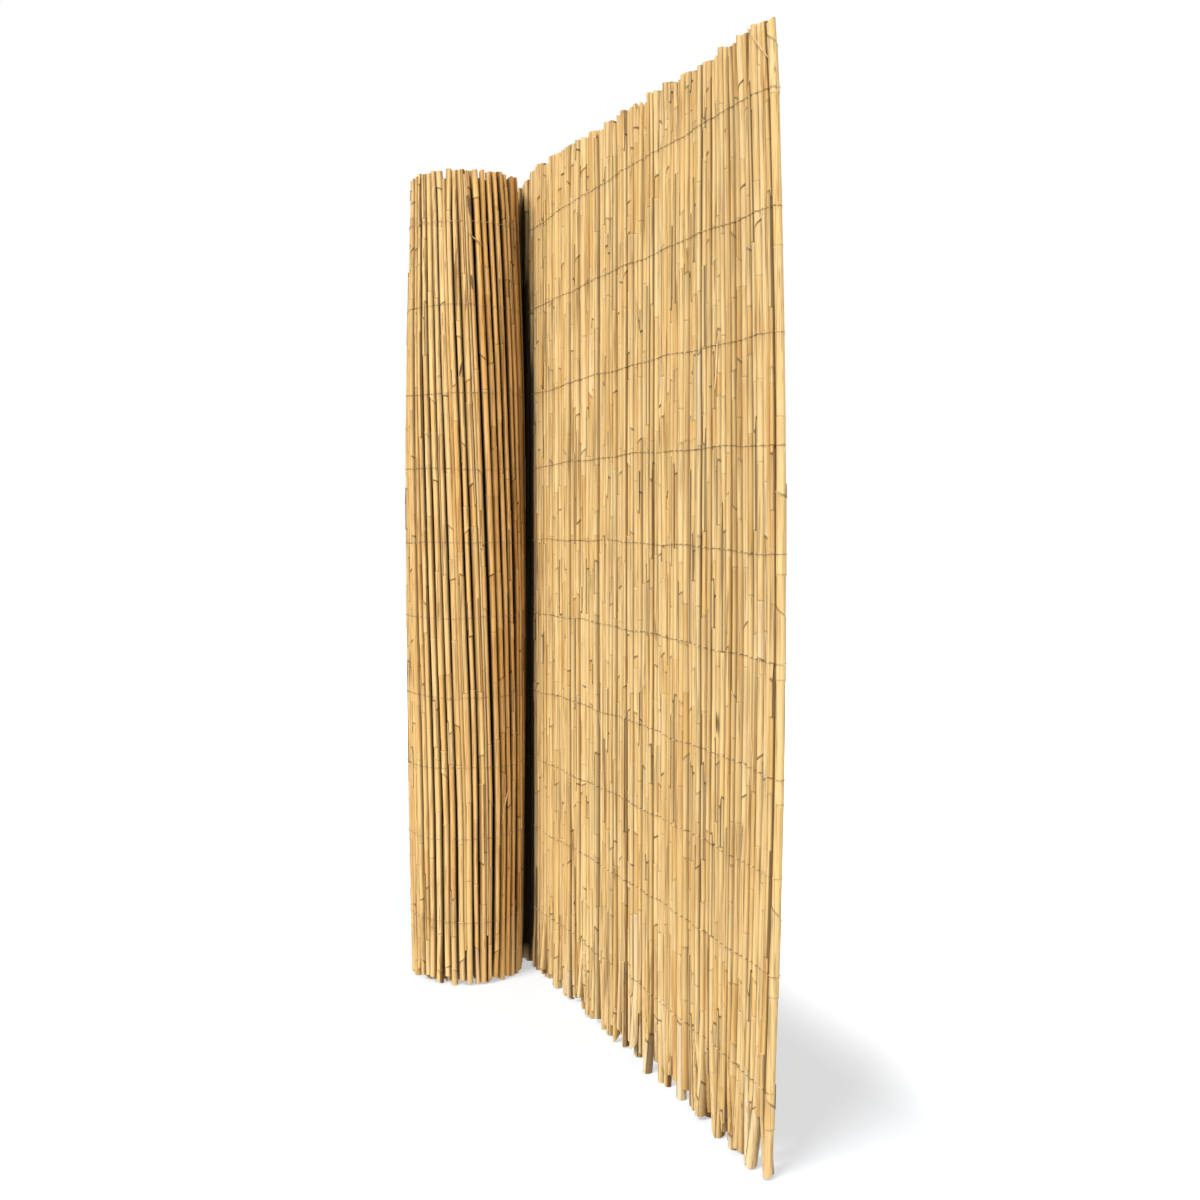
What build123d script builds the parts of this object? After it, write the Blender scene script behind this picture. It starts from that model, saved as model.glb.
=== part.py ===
"""Reed screen, partly unrolled: a mat of round reed canes bound by rows of wire.

One end of the mat is still rolled up and stands on its cane ends. The rest runs out
from the back of the roll as a straight panel to its free edge.
Millimetres, +Z up along the canes, +X along the panel, and +Y to the mat's back face,
which is the face that shows on the outside of the roll.
"""

from build123d import *

import os
from math import acos, ceil, cos, pi, sin, sqrt

# Canes
reed_length = 1000.0
reed_size = 8.8
reed_size_spread = 2.4
reed_spacing_gap = 0.4
groove_depth = 2.6
edge_bulge = 1.2
end_stagger = 9.0

# Unrolled panel and roll
panel_length = 613.0
roll_diameter = 158.0
core_diameter = 42.0
turn_clearance = 0.5

# Slits where neighbouring cane ends stand apart
slit_width = 2.4
slit_depth = 45.0
slit_depth_spread = 22.0
slit_every_top = 5
slit_every_bottom = 4

# Binding wires, one in front of and one behind the canes in each row
wire_thickness = 0.8
wire_clearance = 0.2
wire_count = 10
lowest_wire_height = 78.0
top_wire_margin = 62.0
wire_drift = (0.0, 0.06, -0.04, -0.14, -0.12, -0.14, -0.16, -0.17, -0.05, 0.0)
wire_chords_per_quarter = 7

# Steps of the irrational series that give each cane its own size and ends
SIZE_STEP = 0.6180339887
TOP_STEP = 0.7548776662
BOTTOM_STEP = 0.5698402910
FLUSH_SHARE = 0.45

# Turns from a cane's crest to the corners of its ten-sided outline, and of the plainer one inside the roll
CORNER_TURNS = (-0.3 * pi, -0.1 * pi, 0.1 * pi, 0.3 * pi)
INNER_CORNER_TURNS = (0.0,)

# The mat's two faces
FRONT = -1
BACK = 1

QUARTERS_PER_TURN = 4
QUARTER_ANGLE = pi / 2

reed_thin = reed_size - reed_size_spread / 2
reed_thick = reed_size + reed_size_spread / 2
valley_thickness = reed_thin - 2 * groove_depth
turn_pitch = reed_thick + turn_clearance
quarter_step = turn_pitch / QUARTERS_PER_TURN
first_radius = (roll_diameter - reed_thick) / 2
core_radius = (core_diameter + reed_thick) / 2
turned_quarters = (first_radius - core_radius) / quarter_step
panel_reeds = round(panel_length / (reed_size + reed_spacing_gap))


def series(step, index):
    """A number from 0 to 1 that wanders with the index and never repeats."""
    return (step * (index + 1)) % 1.0


def reed_diameter(index):
    return reed_thin + reed_size_spread * series(SIZE_STEP, index)


def reed_top(index):
    return reed_length - end_stagger * series(TOP_STEP, index)


def reed_bottom(index):
    """Most canes have settled onto the floor, and the others end a little above it."""
    above_flush = series(BOTTOM_STEP, index) - FLUSH_SHARE
    return end_stagger * max(0.0, above_flush)


def spiral_quarters():
    """Centre and radius of each quarter turn of the mat's middle line, from outside in.

    The centres step round the corners of a small square, so that each quarter leaves
    the one before it along the same tangent and every full turn is one pitch further in.
    """
    inward = [(-1, 0), (0, -1), (1, 0), (0, 1)]
    quarters = []
    centre = Vector(0, 0)
    for number in range(ceil(turned_quarters)):
        quarters.append((centre, first_radius - number * quarter_step))
        step_x, step_y = inward[number % QUARTERS_PER_TURN]
        centre = centre + Vector(step_x, step_y) * quarter_step
    return quarters


QUARTERS = spiral_quarters()


def length_of_quarters(count):
    """Length of the middle line over that many quarter turns from the outside, whole or not."""
    whole = int(count)
    length = sum(radius * QUARTER_ANGLE for _, radius in QUARTERS[:whole])
    if whole < len(QUARTERS):
        length += (count - whole) * QUARTERS[whole][1] * QUARTER_ANGLE
    return length


def middle_line(distance):
    """Point, back-facing normal and inward direction of the mat at a distance along it.

    Distance 0 is where the panel meets the roll, and the panel has negative distances.
    """
    if distance < 0:
        return Vector(-distance, first_radius), Vector(0, 1), Vector(-1, 0)
    for number, (centre, radius) in enumerate(QUARTERS):
        quarter_length = radius * QUARTER_ANGLE
        if distance <= quarter_length or number == len(QUARTERS) - 1:
            break
        distance -= quarter_length
    angle = QUARTER_ANGLE * (number + 1) + distance / radius
    normal = Vector(cos(angle), sin(angle))
    return centre + normal * radius, normal, Vector(-sin(angle), cos(angle))


def reed_spans():
    """(index, start, end) of each cane along the mat, from the free edge to the core.

    The canes of the panel share out its length, and those of the roll keep the usual gap.
    """
    panel_gap = (panel_length - sum(reed_diameter(i) for i in range(panel_reeds))) / panel_reeds
    rolled_length = length_of_quarters(turned_quarters)
    spans = []
    start = -panel_length
    while True:
        index = len(spans)
        gap = panel_gap if index < panel_reeds else reed_spacing_gap
        end = start + reed_diameter(index) + gap
        if end > rolled_length:
            return spans
        spans.append((index, start, end))
        start = end


SPANS = reed_spans()
FIRST_TURN = length_of_quarters(QUARTERS_PER_TURN)
PANEL = SPANS[:panel_reeds]
OUTER_TURN = [span for span in SPANS[panel_reeds:] if span[1] < FIRST_TURN]
INNER_TURNS = SPANS[panel_reeds + len(OUTER_TURN):]


def offset_point(distance, out):
    """Point at a distance along the mat, that far out from its middle line to the back."""
    point, normal, _ = middle_line(distance)
    return point + normal * out


def ridge(span, side, corner_turns):
    """Corners of one cane's ridge on the mat's front or back, from valley to valley.

    The corners reach out far enough for the facet or corner at the crest to touch the round cane.
    """
    index, start, end = span
    middle = (start + end) / 2
    reach = reed_diameter(index) / 2 / cos(min(abs(turn) for turn in corner_turns))
    corners = [offset_point(middle + reach * sin(turn), side * reach * cos(turn)) for turn in corner_turns]
    valley = side * valley_thickness / 2
    return [offset_point(start, valley), *corners, offset_point(end, valley)]


def reed(span):
    """One cane of the wall, ten-sided, with its own two ends."""
    index, start, _ = span
    front, back = ridge(span, FRONT, CORNER_TURNS), ridge(span, BACK, CORNER_TURNS)
    start_side = Line(front[0], back[0])
    if index == 0:
        start_side = ThreePointArc(front[0], offset_point(start - edge_bulge, 0), back[0])
    outline = [Polyline(*back), Line(back[-1], front[-1]), Polyline(*front), start_side]
    section = make_face([edge for part in outline for edge in part.edges()])
    bottom = reed_bottom(index)
    return Pos(0, 0, bottom) * extrude(section, reed_top(index) - bottom, dir=(0, 0, 1))


def inner_turns():
    """The turns inside the roll as one ridged wall, with a plain ridge for each cane."""
    backs = [ridge(span, BACK, INNER_CORNER_TURNS) for span in INNER_TURNS]
    fronts = [ridge(span, FRONT, INNER_CORNER_TURNS) for span in INNER_TURNS]
    back_points = [backs[0][0]] + [point for points in backs for point in points[1:]]
    front_points = [fronts[0][0]] + [point for points in fronts for point in points[1:]]
    section = make_face(Polyline(*back_points, *reversed(front_points), close=True))
    return extrude(section, reed_length - end_stagger / 2, dir=(0, 0, 1))


def slit(distance, mouth, depth):
    """Cutter for the gap between two cane ends, from its mouth to its depth."""
    point, normal, along = middle_line(distance)
    plane = Plane(origin=(point.X, point.Y, mouth), x_dir=along, z_dir=normal)
    half = slit_width / 2
    outline = Polyline((-half, 0), (half, 0), (half, depth), (-half, depth), close=True)
    return extrude(plane * make_face(outline), reed_thick, both=True)


def slits(spans):
    """Slits at every few joins between canes, at the top and at the bottom."""
    cutters = []
    for index, start, _ in spans[1:]:
        if index % slit_every_top == 0:
            depth = slit_depth - slit_depth_spread * series(TOP_STEP, index)
            cutters.append(slit(start, reed_length, -depth))
        if index % slit_every_bottom == 1:
            depth = slit_depth - slit_depth_spread * series(BOTTOM_STEP, index)
            cutters.append(slit(start, 0.0, depth))
    return cutters


def unrolled_panel():
    reeds = [reed(span) for span in PANEL]
    return reeds[0].fuse(*reeds[1:]).cut(*slits(PANEL))


def rolled_turns():
    reeds = [reed(span) for span in OUTER_TURN]
    return reeds[0].fuse(*reeds[1:]).cut(*slits(OUTER_TURN)).fuse(inner_turns())


def wire_heights():
    """Height of each row, evenly spread between the two margins and drifting a little."""
    pitch = (reed_length - lowest_wire_height - top_wire_margin) / (wire_count - 1)
    return [
        lowest_wire_height + pitch * (row + wire_drift[row % len(wire_drift)])
        for row in range(wire_count)
    ]


wire_inside = reed_thick / 2 + wire_clearance
wire_outside = wire_inside + wire_thickness
chord_angle = QUARTER_ANGLE / wire_chords_per_quarter
chord_rise = (first_radius + wire_inside) * (1 - cos(chord_angle / 2))


def nip_reach():
    """How far from the roll's axis the wedge beside the panel has room for both wires."""
    room = 2 * (wire_thickness + 2 * wire_clearance) + chord_rise
    under = QUARTERS[QUARTERS_PER_TURN - 1][1] + reed_thick / 2
    return sqrt((under + room) ** 2 - under**2)


def wire_bar(distances, side, height):
    """A wire on the mat's front or back, straight between those distances.

    On the roll it stands out by the rise of its chords, so that each chord clears the canes.
    """
    rises = [chord_rise if distance >= 0 else 0.0 for distance in distances]
    inside = [offset_point(d, side * (wire_inside + r)) for d, r in zip(distances, rises)]
    outside = [offset_point(d, side * (wire_outside + r)) for d, r in zip(distances, rises)]
    section = make_face(Polyline(*inside, *reversed(outside), close=True))
    return Pos(0, 0, height - wire_thickness / 2) * extrude(section, wire_thickness, dir=(0, 0, 1))


def front_wire(height):
    """Runs along the panel's front from the free edge into the wedge beside the roll."""
    return wire_bar([-panel_length, -nip_reach()], FRONT, height)


def back_wire(height):
    """Runs along the panel's back, then round the outside of the roll into the wedge."""
    last_radius = QUARTERS[QUARTERS_PER_TURN - 1][1]
    last_angle = acos(nip_reach() / (last_radius + wire_outside))
    turned = QUARTERS_PER_TURN - 1 + last_angle / QUARTER_ANGLE
    chords = ceil(turned * wire_chords_per_quarter)
    stops = [length_of_quarters(turned * number / chords) for number in range(chords + 1)]
    return wire_bar([-panel_length] + stops, BACK, height)


def main():
    nodes = {"unrolled_panel": unrolled_panel(), "rolled_turns": rolled_turns()}
    for row, height in enumerate(wire_heights(), start=1):
        nodes[f"front_wire_{row:02d}"] = front_wire(height)
        nodes[f"back_wire_{row:02d}"] = back_wire(height)

    boxes = [shape.bounding_box() for shape in nodes.values()]
    centre_x = (min(b.min.X for b in boxes) + max(b.max.X for b in boxes)) / 2
    centre_y = (min(b.min.Y for b in boxes) + max(b.max.Y for b in boxes)) / 2
    os.makedirs("parts", exist_ok=True)
    for name, shape in nodes.items():
        export_step(Pos(-centre_x, -centre_y, 0) * shape, f"parts/{name}.step")
    print("roll axis at", round(-centre_x, 3), round(-centre_y, 3))
    print("canes", len(SPANS), "in panel", len(PANEL), "in outer turn", len(OUTER_TURN))
    print("mat length", round(SPANS[-1][2] - SPANS[0][1]))


main()
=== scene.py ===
"""Looks of the reed screen: every cane, its leaf sheaths and ends, and the twisted wires.

Metres, in the frame of the solids. A place on the mat is given by its distance along
the mat's middle line (the panel negative, 0 where the roll begins, then inwards) and
by how far out from that line it lies towards the mat's back.
"""

import random
from collections import namedtuple
from math import ceil, cos, pi, radians, sin, sqrt

import bpy
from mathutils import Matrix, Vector


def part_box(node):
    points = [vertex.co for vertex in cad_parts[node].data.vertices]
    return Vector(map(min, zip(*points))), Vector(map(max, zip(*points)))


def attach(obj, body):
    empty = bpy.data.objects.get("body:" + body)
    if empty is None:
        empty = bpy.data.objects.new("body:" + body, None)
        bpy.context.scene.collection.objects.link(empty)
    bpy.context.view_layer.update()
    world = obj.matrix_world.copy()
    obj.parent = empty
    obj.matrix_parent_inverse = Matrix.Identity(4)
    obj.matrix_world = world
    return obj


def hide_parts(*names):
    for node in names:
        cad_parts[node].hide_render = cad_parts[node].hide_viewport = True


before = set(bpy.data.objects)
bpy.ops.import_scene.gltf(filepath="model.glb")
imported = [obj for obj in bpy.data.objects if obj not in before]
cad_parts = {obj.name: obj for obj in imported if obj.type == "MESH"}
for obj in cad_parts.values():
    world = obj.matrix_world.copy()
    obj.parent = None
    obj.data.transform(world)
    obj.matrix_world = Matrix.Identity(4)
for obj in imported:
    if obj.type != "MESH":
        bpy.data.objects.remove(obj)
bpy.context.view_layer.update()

MM = 0.001
TURN = 2 * pi

# The frame: the panel starts at the roll's axis and its middle plane touches the roll's middle line
PANEL_LOW, PANEL_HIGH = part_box("unrolled_panel")
FIRST_RADIUS = 74.0 * MM
AXIS_X = PANEL_LOW.x
AXIS_Y = (PANEL_LOW.y + PANEL_HIGH.y) / 2 - FIRST_RADIUS
PANEL_LENGTH = 613.0 * MM
PANEL_REEDS = 67
HEIGHT = PANEL_HIGH.z

# Canes, as in the solids
REED_SIZE = 8.8 * MM
REED_SPREAD = 2.4 * MM
REED_GAP = 0.4 * MM
REED_THIN = REED_SIZE - REED_SPREAD / 2
REED_THICK = REED_SIZE + REED_SPREAD / 2
TURN_PITCH = REED_THICK + 0.5 * MM
CORE_RADIUS = (42.0 * MM + REED_THICK) / 2
END_STAGGER = 9.0 * MM
SIZE_STEP = 0.6180339887
TOP_STEP = 0.7548776662
BOTTOM_STEP = 0.5698402910
FLUSH_SHARE = 0.45
SLIT_EVERY_TOP = 5
SLIT_EVERY_BOTTOM = 4

QUARTERS_PER_TURN = 4
QUARTER_ANGLE = pi / 2
QUARTER_STEP = TURN_PITCH / QUARTERS_PER_TURN
TURNED_QUARTERS = (FIRST_RADIUS - CORE_RADIUS) / QUARTER_STEP

WIRE_ROWS = 10
WIRE_HEIGHTS = []
for row in range(1, WIRE_ROWS + 1):
    wire_low, wire_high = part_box(f"front_wire_{row:02d}")
    WIRE_HEIGHTS.append((wire_low.z + wire_high.z) / 2)

dice = random.Random(20)


# The mat's middle line

def spiral_quarters():
    """Centre and radius of each quarter turn of the middle line, from outside in."""
    inward = [(-1, 0), (0, -1), (1, 0), (0, 1)]
    quarters = []
    x, y = AXIS_X, AXIS_Y
    for number in range(ceil(TURNED_QUARTERS)):
        quarters.append((x, y, FIRST_RADIUS - number * QUARTER_STEP))
        step_x, step_y = inward[number % QUARTERS_PER_TURN]
        x += step_x * QUARTER_STEP
        y += step_y * QUARTER_STEP
    return quarters


QUARTERS = spiral_quarters()
FIRST_TURN = sum(radius * QUARTER_ANGLE for _, _, radius in QUARTERS[:QUARTERS_PER_TURN])
ROLLED_LENGTH = sum(radius * QUARTER_ANGLE for _, _, radius in QUARTERS[:-1])
ROLLED_LENGTH += (TURNED_QUARTERS - len(QUARTERS) + 1) * QUARTERS[-1][2] * QUARTER_ANGLE


def on_mat(distance, out, z):
    """Point of the frame at a distance along the mat, that far out to its back."""
    if distance < 0:
        return Vector((AXIS_X - distance, AXIS_Y + FIRST_RADIUS + out, z))
    for number, (x, y, radius) in enumerate(QUARTERS):
        if distance <= radius * QUARTER_ANGLE or number == len(QUARTERS) - 1:
            break
        distance -= radius * QUARTER_ANGLE
    angle = QUARTER_ANGLE * (number + 1) + distance / radius
    return Vector((x + (radius + out) * cos(angle), y + (radius + out) * sin(angle), z))


def series(step, index):
    """The even but unordered share from 0 to 1 that the solids give to a cane."""
    return (step * (index + 1)) % 1.0


def reed_diameter(index):
    return REED_THIN + REED_SPREAD * series(SIZE_STEP, index)


def reed_spans():
    """(start, end) of each cane along the mat, from the free edge to the core."""
    panel_width = sum(reed_diameter(i) for i in range(PANEL_REEDS))
    panel_gap = (PANEL_LENGTH - panel_width) / PANEL_REEDS
    spans = []
    start = -PANEL_LENGTH
    while True:
        gap = panel_gap if len(spans) < PANEL_REEDS else REED_GAP
        end = start + reed_diameter(len(spans)) + gap
        if end > ROLLED_LENGTH:
            return spans
        spans.append((start, end))
        start = end


SPANS = reed_spans()


def smooth(value):
    """0 to 1 with soft ends."""
    value = min(1.0, max(0.0, value))
    return value * value * (3 - 2 * value)


def some_mm(limits):
    """A random length between two limits in mm."""
    return dice.uniform(*limits) * MM


# Canes

# Rings, leaf sheaths and hollow ends. Offsets of rings are in mm from the joint.
ROW_STEP = 60.0 * MM
SHEATH = 0.55 * MM
SHEATH_MARGIN = 0.35
SHEATH_COVER = 0.8
SHEATH_SHARE = (0.2, 1.1)
WHOLE_SHEATH = 0.85
SHORTEST_SHEATH = 25.0 * MM
SHEATH_SLANT = (5.0, 32.0)
SLANT_ROOM = 0.7
# Darkness round a sheath end: partly the sheath's own darker margin, partly painted shadow at the foot of
# its step
SHEATH_END = ((-1.7, 0.0), (-0.6, 1.0), (0.6, 1.0), (1.7, 0.0))
SHEATH_EDGE = 0.6
LIP = 0.4 * MM
NODE_SHAPE = ((-1.8, 0.0, 0.0), (-0.3, 0.3, 0.0), (0.7, 0.05, 0.55), (2.0, 0.0, 0.0))
NODE_CLEAR = 3.0 * MM
END_CLEAR = 2.0 * MM
HOLLOW_SHARE = 0.6
HOLLOW_DEPTH = 9.0 * MM
RIM_CUT = 0.5
WELL_CUT = 1.0
STEEP_CUT = 1.3
STEEP_SHARE = 0.2
PLAIN_CUT = 0.4
LEAST_CUT = 0.05
CORNER_CUT = 0.3
SHARP_EDGE = radians(40)

# How canes differ
TAPER = (0.02, 0.14)
WAVE_SIZE = (0.1, 0.4)
WAVE_LENGTH = (0.25, 0.6)
WAVE_OUT = 0.7
# Range of painted shade on a cane's two sides, where it meets its neighbours in the grooves
GROOVE_SHADE_RANGE = (0.15, 1.6)
MARK = (0.4, 1.0)
LOOSE_CURVE = 1.2
LOW_TIE = WIRE_HEIGHTS[0]
HIGH_TIE = WIRE_HEIGHTS[-1]

# The roll's canes slant round it, belly out and draw in at the top, and the panel's free edge bows
ROLL_LEAN = 26.0 * MM
ROLL_LEAN_MIDDLE = 8.0 * MM
ROLL_LEAN_FROM = 0.2
ROLL_LEAN_CURVE = 1.2
ROLL_LEAN_REACH = 210.0 * MM
ROLL_BULGE = 5.0 * MM
ROLL_BULGE_BASE = 0.85
ROLL_TAPER = 3.0 * MM
ROLL_TAPER_FROM = 0.7
EDGE_BOW_ALONG = 9.5 * MM
EDGE_BOW_OUT = 6.0 * MM
EDGE_BOW_REACH = 170.0 * MM
EDGE_BOW_BASE = 0.72

# Open margins of the sheaths, and where nodes and pale lengths come
SEAM_HALF = radians(4)
SEAM_FADE = radians(15)
SEAM_SPREAD = radians(45)
SEAM_FACING = 0.8
SEAM_FILL = 4
SEAM_UNDER = 0.8
ROUNDING = 1e-6
FIRST_NODE = (0.02, 0.15)
LAST_NODE = 0.03
NODE_STEP = (60.0 * MM, 170.0 * MM)
PLAIN_NODE_STEP = (130.0 * MM, 300.0 * MM)
PLAIN_SIDES = 8
CORNER_REEDS = 7
PALE_END = 90.0 * MM
PALE_END_SHARE = 0.4
PALE_AT_END = (0.15, 0.5)
PALE_SHARE = 0.008
PALE = (0.15, 0.35)


def seamed_slots(phase):
    """Angles of a ring's points, with the open margins of the sheaths on two opposite sides.

    Each slot is (angle, share of the way round from either seam, darkness at either seam).
    """
    angles = []
    for half in (0, 1):
        seam = phase + half * pi
        rest = (pi - 2 * SEAM_FADE) / SEAM_FILL
        angles += [(seam - SEAM_FADE, half, 0.0), (seam - SEAM_HALF, half, SEAM_UNDER)]
        angles += [(seam + SEAM_HALF, half, 1.0), (seam + SEAM_FADE, half, 0.0)]
        angles += [(seam + SEAM_FADE + rest * k, half, 0.0) for k in range(1, SEAM_FILL)]
    slots = []
    for angle, half, dark in angles:
        shares = []
        for seam in (0, 1):
            turned = (angle - phase - seam * pi - SEAM_HALF + ROUNDING) % TURN
            shares.append(min(1.0, turned / (TURN - 2 * SEAM_HALF)))
        slots.append((angle, shares, [dark if half == seam else 0.0 for seam in (0, 1)]))
    return slots


def plain_slots():
    return [(TURN * k / PLAIN_SIDES, [0.5, 0.5], [0.0, 0.0]) for k in range(PLAIN_SIDES)]


# One ring of a cane: its height, the stretch it belongs to, and how it looks there
Ring = namedtuple("Ring", "z part swell edge tilt seam cut turn", defaults=(0.0, 0.0, 0.0, 0, 0.0, 0.0))


class Stretch:
    """A length of a cane between nodes or sheath ends, bare or under a leaf sheath."""

    def __init__(self, low, high, sheath, seam):
        self.low = low
        self.high = high
        self.sheath = sheath
        self.seam = seam
        self.tone = dice.random()
        self.mark = dice.uniform(*MARK)
        self.pale = 0.0


class Cane:
    """One cane: where it stands on the mat, how it wanders, and its nodes and leaf sheaths."""

    def __init__(self, distance, out, radius, bottom, top, cover, splay, plain):
        self.distance = distance
        self.out = out
        self.radius = radius
        self.bottom = bottom
        self.top = top
        self.cover = cover
        self.splay_bottom, self.splay_top, self.splay_out = splay
        is_facing = dice.random() < SEAM_FACING
        seam = pi / 2 + dice.uniform(-1, 1) * (SEAM_SPREAD if is_facing else pi)
        self.slots = plain_slots() if plain else seamed_slots(seam)
        self.node_step = PLAIN_NODE_STEP if plain else NODE_STEP
        self.tone = dice.random()
        self.grows_up = dice.random() < 0.5
        self.taper = (-1 if self.grows_up else 1) * dice.uniform(*TAPER)
        self.waves = [
            (some_mm(WAVE_SIZE), dice.uniform(*WAVE_LENGTH), dice.uniform(0, TURN))
            for _ in range(4)
        ]
        self.groove_shade = [dice.uniform(*GROOVE_SHADE_RANGE) for _ in range(2)]
        self.gap_shade = 0.0
        self.tan = 0.0
        self.cuts = []
        for _ in range(2):
            steepest = STEEP_CUT if dice.random() < STEEP_SHARE else PLAIN_CUT
            self.cuts.append((dice.uniform(LEAST_CUT, steepest) * radius, dice.uniform(0, TURN)))
        if distance < CORNER_REEDS * REED_SIZE - PANEL_LENGTH:
            self.cuts[0] = (CORNER_CUT * radius, dice.uniform(0, TURN))
        self.stretches = self.grow()

    def grow(self):
        """Nodes every hand's breadth or two, and a leaf sheath on some of the lengths between them."""
        nodes = [self.bottom]
        z = self.bottom + dice.uniform(*FIRST_NODE)
        while z < self.top - LAST_NODE:
            nodes.append(z)
            z += dice.uniform(*self.node_step)
        nodes.append(self.top)
        stretches = []
        for number, (low, high) in enumerate(zip(nodes, nodes[1:])):
            seam = number % 2
            is_covered = dice.random() < self.cover
            share = dice.uniform(*SHEATH_SHARE)
            if not is_covered or high - low < SHORTEST_SHEATH:
                parts = [(low, high, False)]
            elif share > WHOLE_SHEATH:
                parts = [(low, high, True)]
            elif self.grows_up:
                middle = low + (high - low) * share
                parts = [(low, middle, True), (middle, high, False)]
            else:
                middle = high - (high - low) * share
                parts = [(low, middle, False), (middle, high, True)]
            stretches += [Stretch(*part, seam) for part in parts]
        if stretches[0].high - stretches[0].low < PALE_END and dice.random() < PALE_END_SHARE:
            stretches[0].pale = dice.uniform(*PALE_AT_END)
        for part in stretches:
            if dice.random() < PALE_SHARE:
                part.pale = dice.uniform(*PALE)
        return stretches

    def place(self, z):
        """Distance along the mat and distance out from it at a height."""
        share = z / HEIGHT
        (a1, l1, p1), (a2, l2, p2), (a3, l3, p3), (a4, l4, p4) = self.waves
        distance = self.distance + a1 * sin(TURN * z / l1 + p1) + a2 * sin(TURN * z / l2 + p2)
        out = self.out + WAVE_OUT * (a3 * sin(TURN * z / l3 + p3) + a4 * sin(TURN * z / l4 + p4))
        if z < LOW_TIE:
            loose = ((LOW_TIE - z) / LOW_TIE) ** LOOSE_CURVE
            distance += self.splay_bottom * loose
            out += self.splay_out * loose
        if z > HIGH_TIE:
            distance += self.splay_top * ((z - HIGH_TIE) / (HEIGHT - HIGH_TIE)) ** LOOSE_CURVE
        belly = 4 * share * (1 - share)
        on_roll = smooth(self.distance / ROLL_LEAN_REACH)
        slant = max(0.0, (share - ROLL_LEAN_FROM) / (1 - ROLL_LEAN_FROM)) ** ROLL_LEAN_CURVE
        distance -= on_roll * (ROLL_LEAN * slant - ROLL_LEAN_MIDDLE)
        out += on_roll * ROLL_BULGE * (belly - ROLL_BULGE_BASE)
        out -= on_roll * ROLL_TAPER * smooth((share - ROLL_TAPER_FROM) / (1 - ROLL_TAPER_FROM))
        edge = smooth(1 - (self.distance + PANEL_LENGTH) / EDGE_BOW_REACH)
        distance -= edge * EDGE_BOW_ALONG * (belly - EDGE_BOW_BASE)
        out += edge * EDGE_BOW_OUT * (belly - EDGE_BOW_BASE)
        return distance, out

    def width(self, z):
        """Radius at a height, without a sheath."""
        return self.radius * (1 + self.taper * (2 * z / HEIGHT - 1))

    def girth(self, z):
        """Radius at a height, over any sheath."""
        covered = any(part.sheath and part.low <= z <= part.high for part in self.stretches)
        return self.width(z) + (SHEATH if covered else 0.0)

    def joint_rings(self, z, below, above):
        """Rings where two stretches meet, a node's or a sheath end's, and how far they reach."""
        if below.sheath != above.sheath and below.seam == above.seam:
            covered = below if below.sheath else above
            room = min(below.high - below.low, above.high - above.low)
            tilt = dice.choice((-1, 1)) * min(some_mm(SHEATH_SLANT), SLANT_ROOM * room)
            rings = []
            for offset, dark in SHEATH_END:
                part = below if offset < 0 else above
                lip = LIP if part.sheath and dark else 0.0
                edge = dark * (SHEATH_EDGE if part.sheath else 1.0)
                rings.append(Ring(z + offset * MM, part, lip, edge, tilt, covered.seam))
            return rings, abs(tilt) / 2 + END_CLEAR
        rings = []
        for offset, swell, edge in NODE_SHAPE:
            part = below if offset < 0 else above
            rings.append(Ring(z + offset * MM, part, swell * MM, edge, 0.0, part.seam))
        return rings, NODE_CLEAR

    def rings(self):
        """All rings from the bottom up."""
        (low_cut, low_turn), (high_cut, high_turn) = self.cuts
        first, last = self.stretches[0], self.stretches[-1]
        rings = [Ring(self.bottom + low_cut, first, seam=first.seam, cut=low_cut, turn=low_turn)]
        reached = self.bottom + 2 * low_cut + END_CLEAR
        ceiling = self.top - 2 * high_cut - END_CLEAR
        for part, above in zip(self.stretches, self.stretches[1:] + [None]):
            joint, reach = self.joint_rings(part.high, part, above) if above else ([], 0.0)
            limit = min(ceiling, part.high - reach)
            count = max(1, round((limit - reached) / ROW_STEP))
            for number in range(1, count):
                rings.append(Ring(reached + (limit - reached) * number / count, part, seam=part.seam))
            if joint and reached < part.high - reach and part.high + reach < ceiling:
                rings += joint
                reached = part.high + reach
        rings.append(Ring(self.top - high_cut, last, seam=last.seam, cut=high_cut, turn=high_turn))
        return rings


def new_object(name, data):
    """An object of the scene that has these data."""
    thing = bpy.data.objects.new(name, data)
    bpy.context.scene.collection.objects.link(thing)
    return thing


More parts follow.
